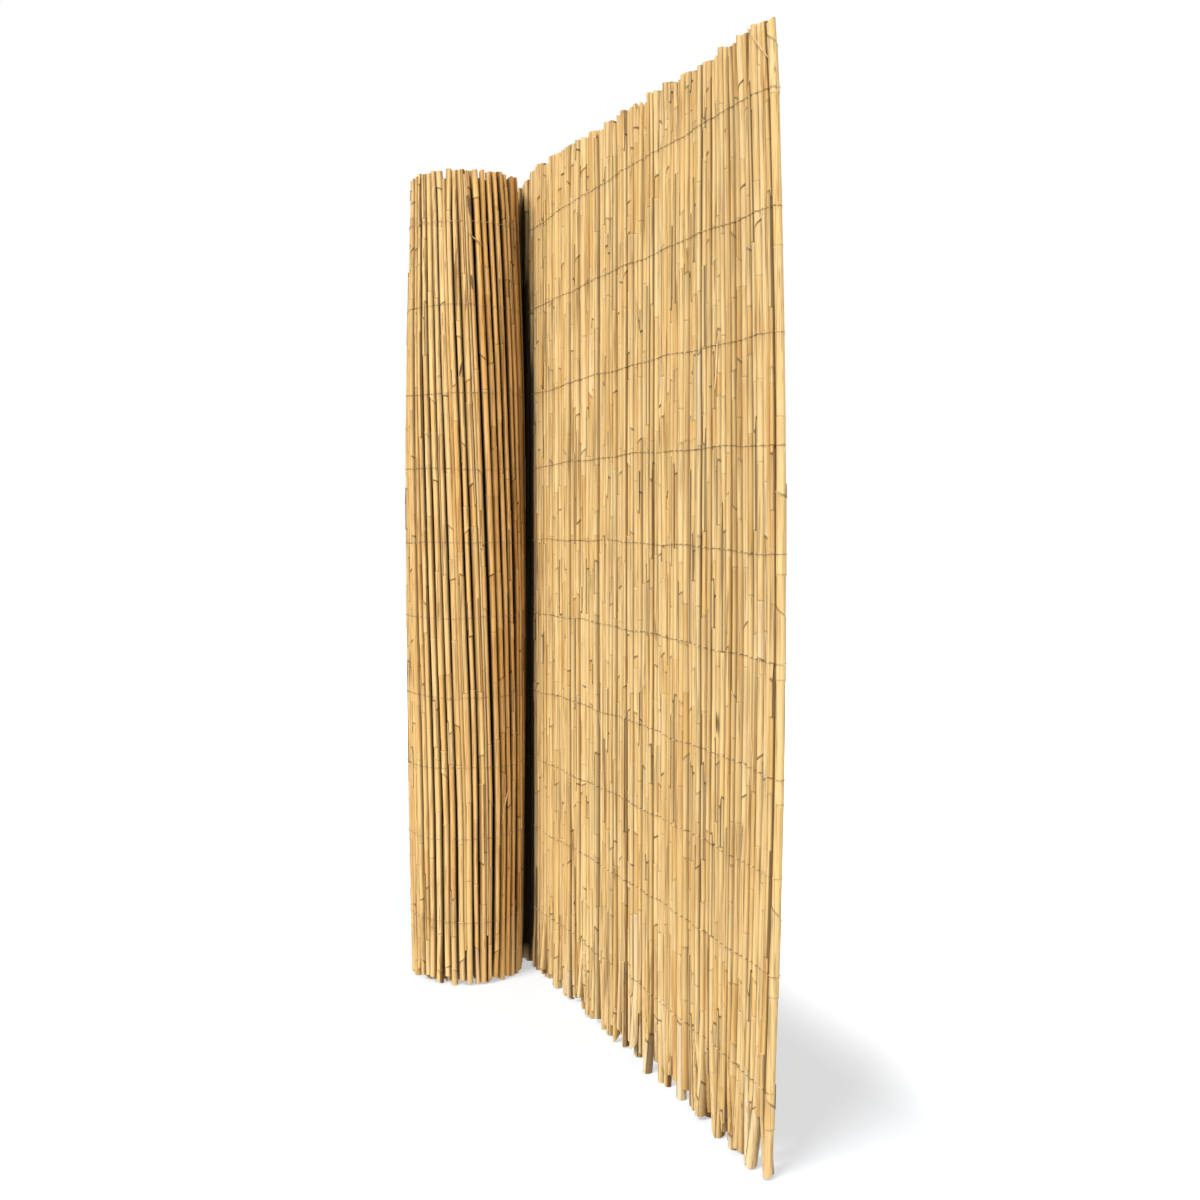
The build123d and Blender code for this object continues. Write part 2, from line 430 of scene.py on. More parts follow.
class MeshBuilder:
    """Gathers vertices, faces and the values that the reed material reads at each vertex."""

    # groove, shade and the warm tint hold painted shade; edge is partly painted shadow and, on leaf scraps,
    # their brown
    VALUES = ("cane", "tone", "sheath", "edge", "groove", "pale", "shade", "cut", "tan")

    def __init__(self):
        self.points = []
        self.faces = []
        self.values = {name: [] for name in self.VALUES}

    def add(self, point, **values):
        """Adds a point and returns its index."""
        self.points.append(point)
        for name in self.VALUES:
            self.values[name].append(values.get(name, 0.0))
        return len(self.points) - 1

    def bridge(self, lower, upper):
        for k in range(len(lower)):
            after = (k + 1) % len(lower)
            self.faces.append((lower[k], lower[after], upper[after], upper[k]))

    def fan(self, ring, tip, up):
        for k in range(len(ring)):
            after = (k + 1) % len(ring)
            self.faces.append((ring[k], ring[after], tip) if up else (ring[after], ring[k], tip))

    def tube(self, vertices, faces, **values):
        """Adds a tube; a value may be one number or a list with one for each vertex."""
        first = len(self.points)
        for number, point in enumerate(vertices):
            own = {name: v[number] if isinstance(v, list) else v for name, v in values.items()}
            self.add(point, **own)
        self.faces.extend(tuple(first + k for k in face) for face in faces)

    def object(self, name, material):
        """The gathered mesh as an object."""
        mesh = bpy.data.meshes.new(name)
        mesh.from_pydata(self.points, [], self.faces)
        for value, numbers in self.values.items():
            attribute = mesh.attributes.new(value, "FLOAT", "POINT")
            attribute.data.foreach_set("value", numbers)
        mesh.materials.append(material)
        mesh.shade_smooth()
        mesh.set_sharp_from_angle(angle=SHARP_EDGE)
        return new_object(name, mesh)


# How dark sheath ends are, partly painted shadow at the step, and the painted shade in grooves, in the nip,
# in the gaps between the roll's canes and on the inner turns
HOOK_FAINT = 0.4
HOOK_FADE = 1.3
GROOVE_FROM = 0.45
GROOVE_OVER = 0.45
INSIDE_MIDDLE = 0.5
INSIDE_SLOPE = 2.5
INNER_SHADE = 0.8
NIP_DARK = 33.0 * MM
NIP_LIT = 47.0 * MM
NIP_NARROWED = 30.0 * MM
NIP_NARROWS = 720.0 * MM
NIP_NARROWS_OVER = 200.0 * MM
NIP_SHADE_REACH = 52.0 * MM
NIP_SHADE_DEPTH = 12.0 * MM
INNER_SHADE_DEPTH = 70.0 * MM
GAP_SHADE = 0.95
GAP_SPREAD = radians(60)
GAP_NONE = 0.7
GAP_FROM = 0.6
GAP_FULL = 0.95


def nip_shade(distance, z):
    """Painted shade on the panel's front towards the nip, which narrows where the roll's top leans away."""
    narrowed = NIP_NARROWED * min(1.0, max(0.0, (z - NIP_NARROWS) / NIP_NARROWS_OVER))
    return smooth((NIP_LIT - narrowed + distance) / (NIP_LIT - NIP_DARK))


def hidden(cane, z, angle):
    """How much painted shade a cane's surface gets: inside the roll, in the nip beside it and in the gaps
    between the roll's outer canes.
    """
    if cane.distance >= FIRST_TURN:
        return smooth(min(z, HEIGHT - z) / INNER_SHADE_DEPTH)
    inside = smooth(INSIDE_MIDDLE + INSIDE_SLOPE * sin(angle))
    in_nip = smooth(min(z - cane.bottom, cane.top - z) / NIP_SHADE_DEPTH)
    if cane.distance > 0:
        tight = 1 - (FIRST_TURN - cane.distance) / NIP_SHADE_REACH
        inner = INNER_SHADE * inside * smooth(min(z, HEIGHT - z) / INNER_SHADE_DEPTH)
        gap = cane.gap_shade * smooth((abs(cos(angle)) - GAP_FROM) / (GAP_FULL - GAP_FROM))
        return max(inner, in_nip * smooth(tight), in_nip * gap)
    return in_nip * inside * nip_shade(cane.distance, z)


def add_ring(builder, cane, ring, scale=1.0, sink=0.0, **values):
    """Adds one ring of a cane and returns its indices."""
    part = ring.part
    indices = []
    for angle, shares, darks in cane.slots:
        share = shares[ring.seam]
        z = ring.z + ring.tilt * (share - 0.5) + ring.cut * cos(angle - ring.turn) + sink
        radius = cane.width(z) + ring.swell
        # Dark line at a sheath end, partly the sheath's own margin and partly painted shadow at its step;
        # nodes get a dark ring of their own
        dark = ring.edge * (HOOK_FAINT + (1 - HOOK_FAINT) * abs(2 * share - 1) ** HOOK_FADE)
        if part.sheath:
            radius += SHEATH * (SHEATH_MARGIN + (1 - SHEATH_MARGIN) * share)
            # Seams: the sheath's own darker open margin, with painted shadow beside it
            dark = max(dark, part.mark * darks[part.seam])
        radius *= scale
        distance, out = cane.place(z)
        # Painted shade on the cane's sides, in the grooves between neighbours
        groove = smooth((abs(cos(angle)) - GROOVE_FROM) / GROOVE_OVER) * cane.groove_shade[cos(angle) > 0]
        place = on_mat(distance + radius * cos(angle), out - radius * sin(angle), z)
        # groove, shade and the warm tint are painted shade; edge is partly painted shadow
        look = {
            "cane": cane.tone, "tone": part.tone, "sheath": float(part.sheath), "edge": dark,
            "groove": groove, "pale": part.pale, "shade": hidden(cane, z, angle), "tan": cane.tan,
        }
        look.update(values)
        indices.append(builder.add(place, **look))
    return indices


def add_cane(builder, cane):
    """A tapered tube with its nodes, sheath steps and hollow ends."""
    rings = cane.rings()
    indices = [add_ring(builder, cane, ring) for ring in rings]
    for lower, upper in zip(indices, indices[1:]):
        builder.bridge(lower, upper)
    for ring, rim, up in ((rings[0], indices[0], False), (rings[-1], indices[-1], True)):
        deep = HOLLOW_DEPTH * (-1 if up else 1)
        lip = add_ring(builder, cane, ring, HOLLOW_SHARE, edge=0.0, groove=0.0, cut=RIM_CUT)
        well = add_ring(builder, cane, ring, HOLLOW_SHARE, deep, edge=0.0, groove=0.0, cut=WELL_CUT)
        distance, out = cane.place(ring.z + deep)
        tip = builder.add(on_mat(distance, out, ring.z + deep), cane=cane.tone, cut=WELL_CUT)
        steps = ((rim, lip), (lip, well)) if up else ((lip, rim), (well, lip))
        for lower, upper in steps:
            builder.bridge(lower, upper)
        builder.fan(well, tip, up)


# How far loose ends lean, as groups and by themselves, and how ragged they are. Limits are in mm.
WIDEST_BOTTOM = 13.0 * MM
BOTTOM_CURVE = 1.5
BOTTOM_LEANS = (-5.0, 5.0)
WIDEST_TOP = 3.6 * MM
TOP_CURVE = 1.3
TOP_LEANS = (-1.6, 1.6)
BOTTOM_SPREAD = [WIDEST_BOTTOM * dice.random() ** BOTTOM_CURVE for _ in SPANS]
BOTTOM_LEAN = [some_mm(BOTTOM_LEANS) for _ in SPANS]
TOP_SPREAD = [WIDEST_TOP * dice.random() ** TOP_CURVE for _ in SPANS]
TOP_LEAN = [some_mm(TOP_LEANS) for _ in SPANS]
OWN_BOTTOM = (-1.5, 1.5)
OWN_TOP = (-0.9, 0.9)
OWN_OUT = (-1.2, 1.2)
OUT_SHARE = 0.4
CORNER_SPLAY = [-1.0 * MM, -2.5 * MM, 4.5 * MM, 3.5 * MM]
ROLL_SPLAY = 0.3
RAGGED_BOTTOM = (0.0, 13.0)
RAGGED_TOP = (0.0, 5.0)
TOP_STAGGER = 0.5 * END_STAGGER

# How far a cane stands off the mat's middle line, its size beside the solids', and the thin canes
OFF_LINE = (-1.1, 1.1)
OWN_SIZE = (0.92, 1.06)
THIN_RADIUS = (1.5, 2.7)
THIN_PROUD = (0.2, 1.2)
THIN_SPLAY = (-2.0, 2.0)
THIN_BOTTOM = (4.0, 50.0)
THIN_TOP = (2.0, 30.0)
THIN_COVER = 0.3


def group_splay(index, every, first, spread, lean):
    """How far a cane's end leans with its group and to its middle, which opens slits between groups."""
    group, place = divmod(index - first, every)
    middle = (every - 1) / 2
    return spread[group] * (middle - place) / middle + lean[group]


def cane_ends(index, ragged=1.0):
    """Bottom and top of a cane: those that stand on the floor stay there, and the rest are ragged."""
    above_flush = series(BOTTOM_STEP, index) - FLUSH_SHARE
    bottom = END_STAGGER * max(0.0, above_flush)
    if above_flush > 0:
        bottom += some_mm(RAGGED_BOTTOM)
    top = HEIGHT - ragged * (TOP_STAGGER * series(TOP_STEP, index) + some_mm(RAGGED_TOP))
    return ragged * bottom, top


def main_cane(index, tightness, cover, drop, lift, ragged, plain=False):
    """The cane that stands where the solids have one."""
    start, end = SPANS[index]
    bottom, top = cane_ends(index, ragged)
    out_share = OUT_SHARE if index % 2 else -OUT_SHARE
    splay = (
        group_splay(index, SLIT_EVERY_BOTTOM, 1, BOTTOM_SPREAD, BOTTOM_LEAN) + some_mm(OWN_BOTTOM),
        group_splay(index, SLIT_EVERY_TOP, 0, TOP_SPREAD, TOP_LEAN) + some_mm(OWN_TOP),
        out_share * BOTTOM_SPREAD[(index - 1) // SLIT_EVERY_BOTTOM] + some_mm(OWN_OUT),
    )
    if index >= PANEL_REEDS:
        splay = [ROLL_SPLAY * splay[0], splay[1], ROLL_SPLAY * splay[2]]
    out = lift + some_mm(OFF_LINE)
    radius = tightness * reed_diameter(index) / 2 * dice.uniform(*OWN_SIZE)
    return Cane((start + end) / 2, out, radius, bottom, top - drop, cover, splay, plain)


def thin_cane(index, side, distance, drop=0.0):
    """A thin cane lying in the groove beside a cane, on the front (-1) or back (1) of the mat."""
    bottom, top = cane_ends(index)
    radius = some_mm(THIN_RADIUS)
    out = side * (REED_THIN / 2 - radius + some_mm(THIN_PROUD))
    splay = (some_mm(THIN_SPLAY), some_mm(THIN_SPLAY), 0.0)
    bottom += some_mm(THIN_BOTTOM)
    top -= drop + some_mm(THIN_TOP)
    return Cane(distance, out, radius, bottom, top, THIN_COVER, splay, True)


# How close the canes stand, where thin ones lie, and how far tops lie below the solids'
OUTER_END = sum(1 for start, _ in SPANS if start < FIRST_TURN)
EDGE_TIGHTNESS = 0.85
PANEL_TIGHTNESS = 1.01
OUTER_TIGHTNESS = 0.87
OUTER_SHIFT = 0.45 * MM
INNER_TIGHTNESS = 0.92
FRONT_SHARE = 0.2
BACK_SHARE = 0.15
ROLL_THIN_SHARE = 0.1
ROLL_THIN_CLEAR = 12
WIDEST_GAP = -0.3 * MM
EDGE_DROP = 2.0 * MM
NIP_DROP = 11.0 * MM
NIP_DROP_REEDS = 5
ROLL_DROP = 16.5 * MM
LEFT_DROP = 15.0 * MM
INNER_DROP = 5.0 * MM
CORNER_RAGGED = 0.35
NIP_RAGGED = 0.3
NIP_RAGGED_REEDS = 8
ROLL_RAGGED = 0.5
ROLL_LIFT = 0.7 * MM

# Round the roll, by how far the mat has turned: the left side as the camera sees it, and the way to the nip
LEFT_TURN = radians(156)
LEFT_SPREAD = radians(45)
LEFT_TIGHTER = 0.16
TIGHT_SPREAD = radians(75)
# Least painted groove shade on the roll's outer canes, and how much less of it the lit left side gets
ROLL_GROOVE_SHADE = 0.6
LEFT_LESS_SHADE = 0.55
BACK_GAPS = 0.5
GAP_DIFFERS = (0.75, 1.1)
# Painted warm shade on the roll's canes: some everywhere, growing towards the nip
ROLL_WARM_SHADE = 0.4
WARM_SHADE_FROM = radians(240)
WARM_SHADE_OVER = radians(75)


def panel_canes():
    """The panel's canes, with thin ones over some of the grooves and behind every gap."""
    canes = []
    for index in range(PANEL_REEDS):
        share = index / PANEL_REEDS
        drop = EDGE_DROP * (2 * share - 1) ** 2
        drop += NIP_DROP * max(0.0, 1 - (PANEL_REEDS - 1 - index) / NIP_DROP_REEDS)
        tightness = EDGE_TIGHTNESS if index == 0 else PANEL_TIGHTNESS
        ragged = CORNER_RAGGED if index < CORNER_REEDS else 1.0
        if index > PANEL_REEDS - NIP_RAGGED_REEDS:
            ragged = NIP_RAGGED
        canes.append(main_cane(index, tightness, SHEATH_COVER, drop, 0.0, ragged))
    # No painted groove shade on the edge cane's free side
    canes[0].groove_shade[0] = 0.0
    for cane, splay in zip(canes, CORNER_SPLAY):
        cane.splay_bottom = splay
    thin = []
    for index in range(1, PANEL_REEDS - NIP_DROP_REEDS):
        cane, after = canes[index], canes[index + 1]
        gap = after.distance - cane.distance - after.radius - cane.radius
        groove = (after.distance - after.radius + cane.distance + cane.radius) / 2
        if dice.random() < FRONT_SHARE:
            thin.append(thin_cane(index, -1, groove))
        if gap > WIDEST_GAP or dice.random() < BACK_SHARE:
            thin.append(thin_cane(index, 1, groove))
    return canes + thin


def outer_canes():
    """The roll's outer turn: close at the left with less painted groove shade, painted shade in darker
    gaps, and a painted warm shade growing towards the nip.
    """
    canes = []
    for index in range(PANEL_REEDS, OUTER_END):
        turned = TURN * SPANS[index][0] / FIRST_TURN
        from_left = abs(turned - LEFT_TURN)
        drop = ROLL_DROP + LEFT_DROP * smooth(1 - from_left / LEFT_SPREAD)
        close = smooth(1 - from_left / TIGHT_SPREAD)
        tightness = OUTER_TIGHTNESS + LEFT_TIGHTER * close
        ragged = ROLL_RAGGED if turned < WARM_SHADE_FROM else NIP_RAGGED
        cane = main_cane(index, tightness, SHEATH_COVER, drop, ROLL_LIFT, ragged)
        cane.distance += dice.uniform(-1, 1) * OUTER_SHIFT
        # Painted groove shade, less on the lit left side
        less_shade = 1 - LEFT_LESS_SHADE * close
        cane.groove_shade = [less_shade * max(ROLL_GROOVE_SHADE, groove_shade) for groove_shade in cane.groove_shade]
        # Painted shade in the gaps between the roll's outer canes, half as much on the roll's back
        gap_shade = GAP_SHADE * dice.uniform(*GAP_DIFFERS) * (BACK_GAPS if turned < LEFT_TURN else 1.0)
        cane.gap_shade = gap_shade * smooth(from_left / GAP_SPREAD - GAP_NONE)
        cane.tan = ROLL_WARM_SHADE + (1 - ROLL_WARM_SHADE) * smooth((turned - WARM_SHADE_FROM) / WARM_SHADE_OVER)
        canes.append(cane)
        if dice.random() < ROLL_THIN_SHARE and index < OUTER_END - ROLL_THIN_CLEAR:
            canes.append(thin_cane(index, 1, SPANS[index][1], drop))
    return canes


def inner_canes():
    """The turns inside, plain and without sheaths."""
    drop = ROLL_DROP + INNER_DROP
    inner = range(OUTER_END, len(SPANS))
    return [main_cane(index, INNER_TIGHTNESS, 0.0, drop, 0.0, ROLL_RAGGED, True) for index in inner]


# Materials

def srgb(red, green, blue):
    """A colour of the shader from its 0 to 255 screen values."""
    def linear(value):
        value /= 255
        return value / 12.92 if value <= 0.04045 else ((value + 0.055) / 1.055) ** 2.4
    return (linear(red), linear(green), linear(blue), 1.0)


class Nodes:
    """Short calls for building the nodes of a material or of the world."""

    def __init__(self, owner, shader="Principled BSDF"):
        owner.use_nodes = True
        self.owner = owner
        self.tree = owner.node_tree
        self.shader = self.tree.nodes[shader]

    def new(self, kind, **settings):
        node = self.tree.nodes.new(kind)
        for key, value in settings.items():
            setattr(node, key, value)
        return node

    def link(self, source, target):
        self.tree.links.new(source, target)

    def set(self, socket, value):
        """Gives a socket a value, or links another node's output to it."""
        if hasattr(value, "is_output"):
            self.link(value, socket)
        else:
            socket.default_value = value

    def fill(self, node, values):
        """Sets or links the inputs of a node, by their names."""
        for name, value in values.items():
            self.set(node.inputs[name], value)

    def value(self, name):
        """A value of the mesh at each vertex."""
        return self.new("ShaderNodeAttribute", attribute_name=name).outputs["Fac"]

    def math(self, operation, first, second, clamp=False):
        node = self.new("ShaderNodeMath", operation=operation, use_clamp=clamp)
        self.set(node.inputs[0], first)
        self.set(node.inputs[1], second)
        return node.outputs[0]

    def ramp(self, fac, stops):
        node = self.new("ShaderNodeValToRGB")
        elements = node.color_ramp.elements
        while len(elements) < len(stops):
            elements.new(0.5)
        for element, (position, colour) in zip(elements, stops):
            element.position = position
            element.color = colour
        self.set(node.inputs["Fac"], fac)
        return node.outputs["Color"]

    def mix(self, fac, first, second, blend="MIX"):
        node = self.new("ShaderNodeMix", data_type="RGBA", blend_type=blend)
        self.set(node.inputs["Factor"], fac)
        self.set(node.inputs[6], first)
        self.set(node.inputs[7], second)
        return node.outputs[2]

    def tint(self, under, strength, over):
        """A colour multiplied by another at that strength."""
        return self.mix(strength, under, over, "MULTIPLY")

    def cover(self, under, amount, strength, over):
        """A colour covered by another where the amount is high, at that strength."""
        return self.mix(self.math("MULTIPLY", amount, strength, clamp=True), under, over)

    def seen(self):
        """1 for what the camera sees straight, mirrored or through glass, and 0 for other light."""
        path = self.new("ShaderNodeLightPath")
        seen = self.math("MAXIMUM", path.outputs["Is Camera Ray"], path.outputs["Is Glossy Ray"])
        return self.math("MAXIMUM", seen, path.outputs["Is Transmission Ray"])

    def noise(self, vector, scale, detail, rough):
        node = self.new("ShaderNodeTexNoise")
        self.fill(node, {"Vector": vector, "Scale": scale, "Detail": detail, "Roughness": rough})
        return node.outputs["Fac"]

    def stretched(self, vector, along, shift):
        """Coordinates stretched along the canes, and moved by a cane's own number."""
        scaled = self.new("ShaderNodeVectorMath", operation="MULTIPLY")
        self.set(scaled.inputs[0], vector)
        self.set(scaled.inputs[1], (1.0, 1.0, along))
        moved = self.new("ShaderNodeVectorMath", operation="ADD")
        self.set(moved.inputs[0], scaled.outputs[0])
        self.set(moved.inputs[1], shift)
        return moved.outputs[0]


def grey(value):
    """A grey of the shader, not a screen value."""
    return (value, value, value, 1.0)


# Noises of a cane: how far each is stretched along it, its scale, detail and roughness
STREAK = (0.02, 620.0, 3.0, 0.55)
FIBRE = (0.008, 2300.0, 2.0, 0.55)
PATCH = (0.1, 60.0, 4.0, 0.6)
STAIN = (0.035, 170.0, 3.0, 0.6)
LINE = (0.012, 900.0, 1.0, 0.55)
MOULD = (0.3, 30.0, 3.0, 0.55)
NOISES_APART = 37.0

# Colours of canes, of the lengths of one, of sheaths and cut ends, and how noises change them
BARE = [
    (0.0, srgb(240, 209, 150)), (0.16, srgb(231, 196, 133)), (0.32, srgb(238, 205, 145)),
    (0.5, srgb(224, 187, 124)), (0.66, srgb(237, 203, 142)), (0.82, srgb(230, 198, 140)),
    (1.0, srgb(243, 216, 162)),
]
LENGTHS = [
    (0.0, srgb(243, 234, 216)), (0.3, srgb(255, 255, 255)), (0.55, srgb(255, 250, 240)),
    (0.8, srgb(253, 245, 228)), (1.0, srgb(243, 226, 194)),
]
HUSKS = [(0.25, srgb(218, 182, 120)), (0.5, srgb(236, 204, 145)), (0.75, srgb(242, 215, 162))]
# Cut ends: a pale rim, then painted shade down the hollow's well
CUT_ENDS = [(0.0, srgb(236, 206, 150)), (0.5, srgb(214, 178, 120)), (1.0, srgb(52, 34, 16))]
PATCHES = [(0.34, srgb(218, 186, 134)), (0.5, srgb(255, 255, 255)), (0.7, srgb(255, 250, 236))]
STREAKS = [(0.25, grey(0.76)), (0.5, grey(0.98)), (0.8, grey(1.06))]
FIBRES = [(0.3, grey(0.82)), (0.6, grey(1.03))]
STAINED = [(0.61, grey(0.0)), (0.71, grey(1.0))]
MOULDY = [(0.68, grey(0.0)), (0.78, grey(1.0))]
LINED = [(0.61, grey(0.0)), (0.67, grey(1.0))]
LENGTH_TINT = 0.85
STREAK_TINT = 0.75
FIBRE_TINT = 0.6
PATCH_TINT = 0.5
# Tint of the painted warm shade on the roll
WARM_SHADE_TINT = srgb(255, 236, 208)

# Strength and colour of what covers a cane: its own stains, mould, lines and pale lengths, the painted
# shade in grooves, gaps, the nip and the inner turns, and dark sheath edges that are partly painted shadow
HUSK_COVER = 0.5
CUT_COVER = 2.0
STAIN_COVER = (0.7, srgb(112, 76, 32))
MOULD_COVER = (0.6, srgb(108, 78, 38))
LINE_COVER = (0.62, srgb(108, 67, 18))
PALE_COVER = (0.6, srgb(250, 240, 214))
# Colour of the painted shade in the grooves
GROOVE_SHADE_COVER = (0.66, srgb(104, 68, 22))
# Colour of the dark lines at sheath ends and seams, partly painted shadow, and of the brown on leaf scraps
EDGE_COVER = (0.97, srgb(50, 26, 3))
# Colour of the painted shade in the nip, in the roll's gaps and on the inner turns
SHADE_COVER = (0.98, srgb(16, 8, 1))

# Surface
REED_ROUGH = 0.34
SHEATH_ROUGH = 0.16
STREAK_ROUGH = 0.25
REED_SHINE = 0.2
RELIEF = 0.35
RELIEF_DEPTH = 0.25 * MM

# Wire
WIRE_NOISE = (210.0, 2.0, 0.55)
WIRE_COLOURS = [(0.4, srgb(132, 94, 44)), (0.5, srgb(222, 190, 134)), (0.62, srgb(250, 232, 190))]
# Colour of the wire's painted shade
WIRE_SHADE = srgb(74, 46, 14)
WIRE_METAL = 0.1
WIRE_ROUGH = 0.35
WIRE_ROUGHER = 0.3


def reed_material():
    """Dry reed: straw tones that differ from cane to cane, fibres, stains and darker sheath edges that are
    partly painted shadow, with painted shade in the grooves, gaps, nip, inner turns and hollow ends and a
    painted warm shade on the roll.
    """
    n = Nodes(bpy.data.materials.new("dry_reed"))
    cane, tone, sheath, edge, groove, pale, shade, cut, tan = (n.value(name) for name in MeshBuilder.VALUES)
    place = n.new("ShaderNodeTexCoord").outputs["Object"]
    shift = n.new("ShaderNodeCombineXYZ")
    n.set(shift.inputs[2], n.math("MULTIPLY", cane, NOISES_APART))

    def noise(along, *settings):
        return n.noise(n.stretched(place, along, shift.outputs[0]), *settings)

    streak = noise(*STREAK)
    fibre = noise(*FIBRE)

    colour = n.tint(n.ramp(cane, BARE), LENGTH_TINT, n.ramp(tone, LENGTHS))
    colour = n.cover(colour, sheath, HUSK_COVER, n.ramp(streak, HUSKS))
    colour = n.tint(colour, STREAK_TINT, n.ramp(streak, STREAKS))
    colour = n.tint(colour, FIBRE_TINT, n.ramp(fibre, FIBRES))
    colour = n.tint(colour, PATCH_TINT, n.ramp(noise(*PATCH), PATCHES))
    colour = n.cover(colour, n.ramp(noise(*STAIN), STAINED), *STAIN_COVER)
    colour = n.cover(colour, n.ramp(noise(*MOULD), MOULDY), *MOULD_COVER)
    colour = n.cover(colour, n.ramp(noise(*LINE), LINED), *LINE_COVER)
    colour = n.cover(colour, pale, *PALE_COVER)
    # Painted warm shade on the roll
    colour = n.tint(colour, tan, WARM_SHADE_TINT)
    # Painted shade in the grooves between canes
    colour = n.cover(colour, groove, *GROOVE_SHADE_COVER)
    # Dark sheath ends and seams, partly painted shadow, and brown on leaf scraps
    colour = n.cover(colour, edge, *EDGE_COVER)
    # Painted shade in the nip, in the roll's gaps and inside the roll
    colour = n.cover(colour, shade, *SHADE_COVER)
    # Cut ends, with painted shade in the hollow
    colour = n.cover(colour, cut, CUT_COVER, n.ramp(cut, CUT_ENDS))

    rough = n.math("MULTIPLY", sheath, SHEATH_ROUGH)
    rough = n.math("ADD", rough, n.math("MULTIPLY", streak, STREAK_ROUGH))
    bump = n.new("ShaderNodeBump")
    height = n.math("ADD", fibre, streak)
    n.fill(bump, {"Strength": RELIEF, "Distance": RELIEF_DEPTH, "Height": height})
    n.fill(n.shader, {
        "Base Color": colour, "Roughness": n.math("ADD", rough, REED_ROUGH),
        "Specular IOR Level": REED_SHINE, "Normal": bump.outputs["Normal"],
    })
    return n.owner


def wire_material():
    """Thin zinc-coated wire gone dull, with brown patches, and painted shade where its shade value is high.
    """
    n = Nodes(bpy.data.materials.new("dull_wire"))
    patch = n.noise(n.new("ShaderNodeTexCoord").outputs["Object"], *WIRE_NOISE)
    colour = n.mix(n.value("shade"), n.ramp(patch, WIRE_COLOURS), WIRE_SHADE)
    rough = n.math("ADD", n.math("MULTIPLY", patch, WIRE_ROUGHER), WIRE_ROUGH)
    n.fill(n.shader, {"Base Color": colour, "Roughness": rough, "Metallic": WIRE_METAL})
    return n.owner


REED = reed_material()
WIRE = wire_material()


# Cane pieces

def cane_piece(name, canes, node):
    """Canes as one piece that takes a solid's place."""
    builder = MeshBuilder()
    for cane in canes:
        add_cane(builder, cane)
    piece = builder.object(name, REED)
    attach(piece, "root")
    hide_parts(node)


PANEL = panel_canes()
OUTER = outer_canes()
INNER = inner_canes()
cane_piece("panel_canes", PANEL, "unrolled_panel")
cane_piece("roll_canes", OUTER + INNER, "rolled_turns")


# Binding wires

# Strands, how a wire dips between canes and darkens there, and how its row runs
STRAND_RADIUS = 0.17 * MM
STRAND_OFFSET = 0.16 * MM
STRAND_SIDES = 5
TWIST_PITCH = 4.2 * MM
WIRE_STEP = 0.84 * MM
WIRE_DIP = 0.2 * MM
DIP_SPAN = 6
DIP_DEPTH = 1.8 * MM
NEAR_SPAN = 2
# Painted shade on the back wires and on the loops round the edge cane
BACK_WIRE_SHADE = 0.42
LOOP_SHADE = 0.3
LOOP_TURNS = range(0, 90, 9)
WIRE_REACH = STRAND_RADIUS + STRAND_OFFSET
WAVERS = [(0.9 * MM, 33, 2.1), (0.6 * MM, 71, 5.3)]
PANEL_RISE = 5.0 * MM
ROW_SAG = 18.0 * MM
SAG_FROM_ROW = 3.0
SAG_ROWS = 5.5
TAIL_LENGTH = (1.5, 3.5)
TAIL_DROP = (2.0, 8.0)
TAIL_BEND = (-3.0, 3.0)
TAIL_STEPS = 6


def wire_height(row, distance):
    """A row's height along the mat: it wavers, rides up along the panel, and sags high up on the roll."""
    share = min(1.0, max(0.0, -distance / PANEL_LENGTH))
    sag = ROW_SAG * smooth((row - SAG_FROM_ROW) / SAG_ROWS) * (1 - share)
    waver = sum(size * sin(distance * rate + row * shift) for size, rate, shift in WAVERS)
    return WIRE_HEIGHTS[row] + waver + PANEL_RISE * 4 * share * (1 - share) - sag


def wire_line(row, canes, side, start, end):
    """(point, how dark it is) along a wire that lies over the canes and dips between them; the darkness is
    painted shade in the dips, in the nip and on the back.
    """
    marks = []
    for cane in canes:
        z = wire_height(row, cane.distance)
        distance, out = cane.place(z)
        marks.append((distance, side * out, cane.girth(z) + WIRE_REACH))
    marks.sort()
    count = round((end - start) / WIRE_STEP)
    lifts = []
    nearest = 0
    for number in range(count + 1):
        distance = start + (end - start) * number / count
        while nearest < len(marks) and marks[nearest][0] < distance - REED_THICK:
            nearest += 1
        lift = WIRE_DIP
        for place, out, reach in marks[nearest:]:
            if place > distance + REED_THICK:
                break
            if abs(distance - place) < reach:
                lift = max(lift, out + sqrt(reach**2 - (distance - place) ** 2))
        lifts.append(lift)
    line = []
    for number, lift in enumerate(lifts):
        near = lifts[max(0, number - NEAR_SPAN):number + NEAR_SPAN + 1]
        crest = max(lifts[max(0, number - DIP_SPAN):number + DIP_SPAN + 1])
        distance = start + (end - start) * number / count
        place = on_mat(distance, side * max(lift, sum(near) / len(near)), wire_height(row, distance))
        # Painted shade where the wire dips between canes, and in the nip or on the back
        dark = smooth((crest - lift) / DIP_DEPTH)
        dark = max(dark, nip_shade(distance, WIRE_HEIGHTS[row]) if side < 0 else BACK_WIRE_SHADE)
        line.append((place, dark))
    return line


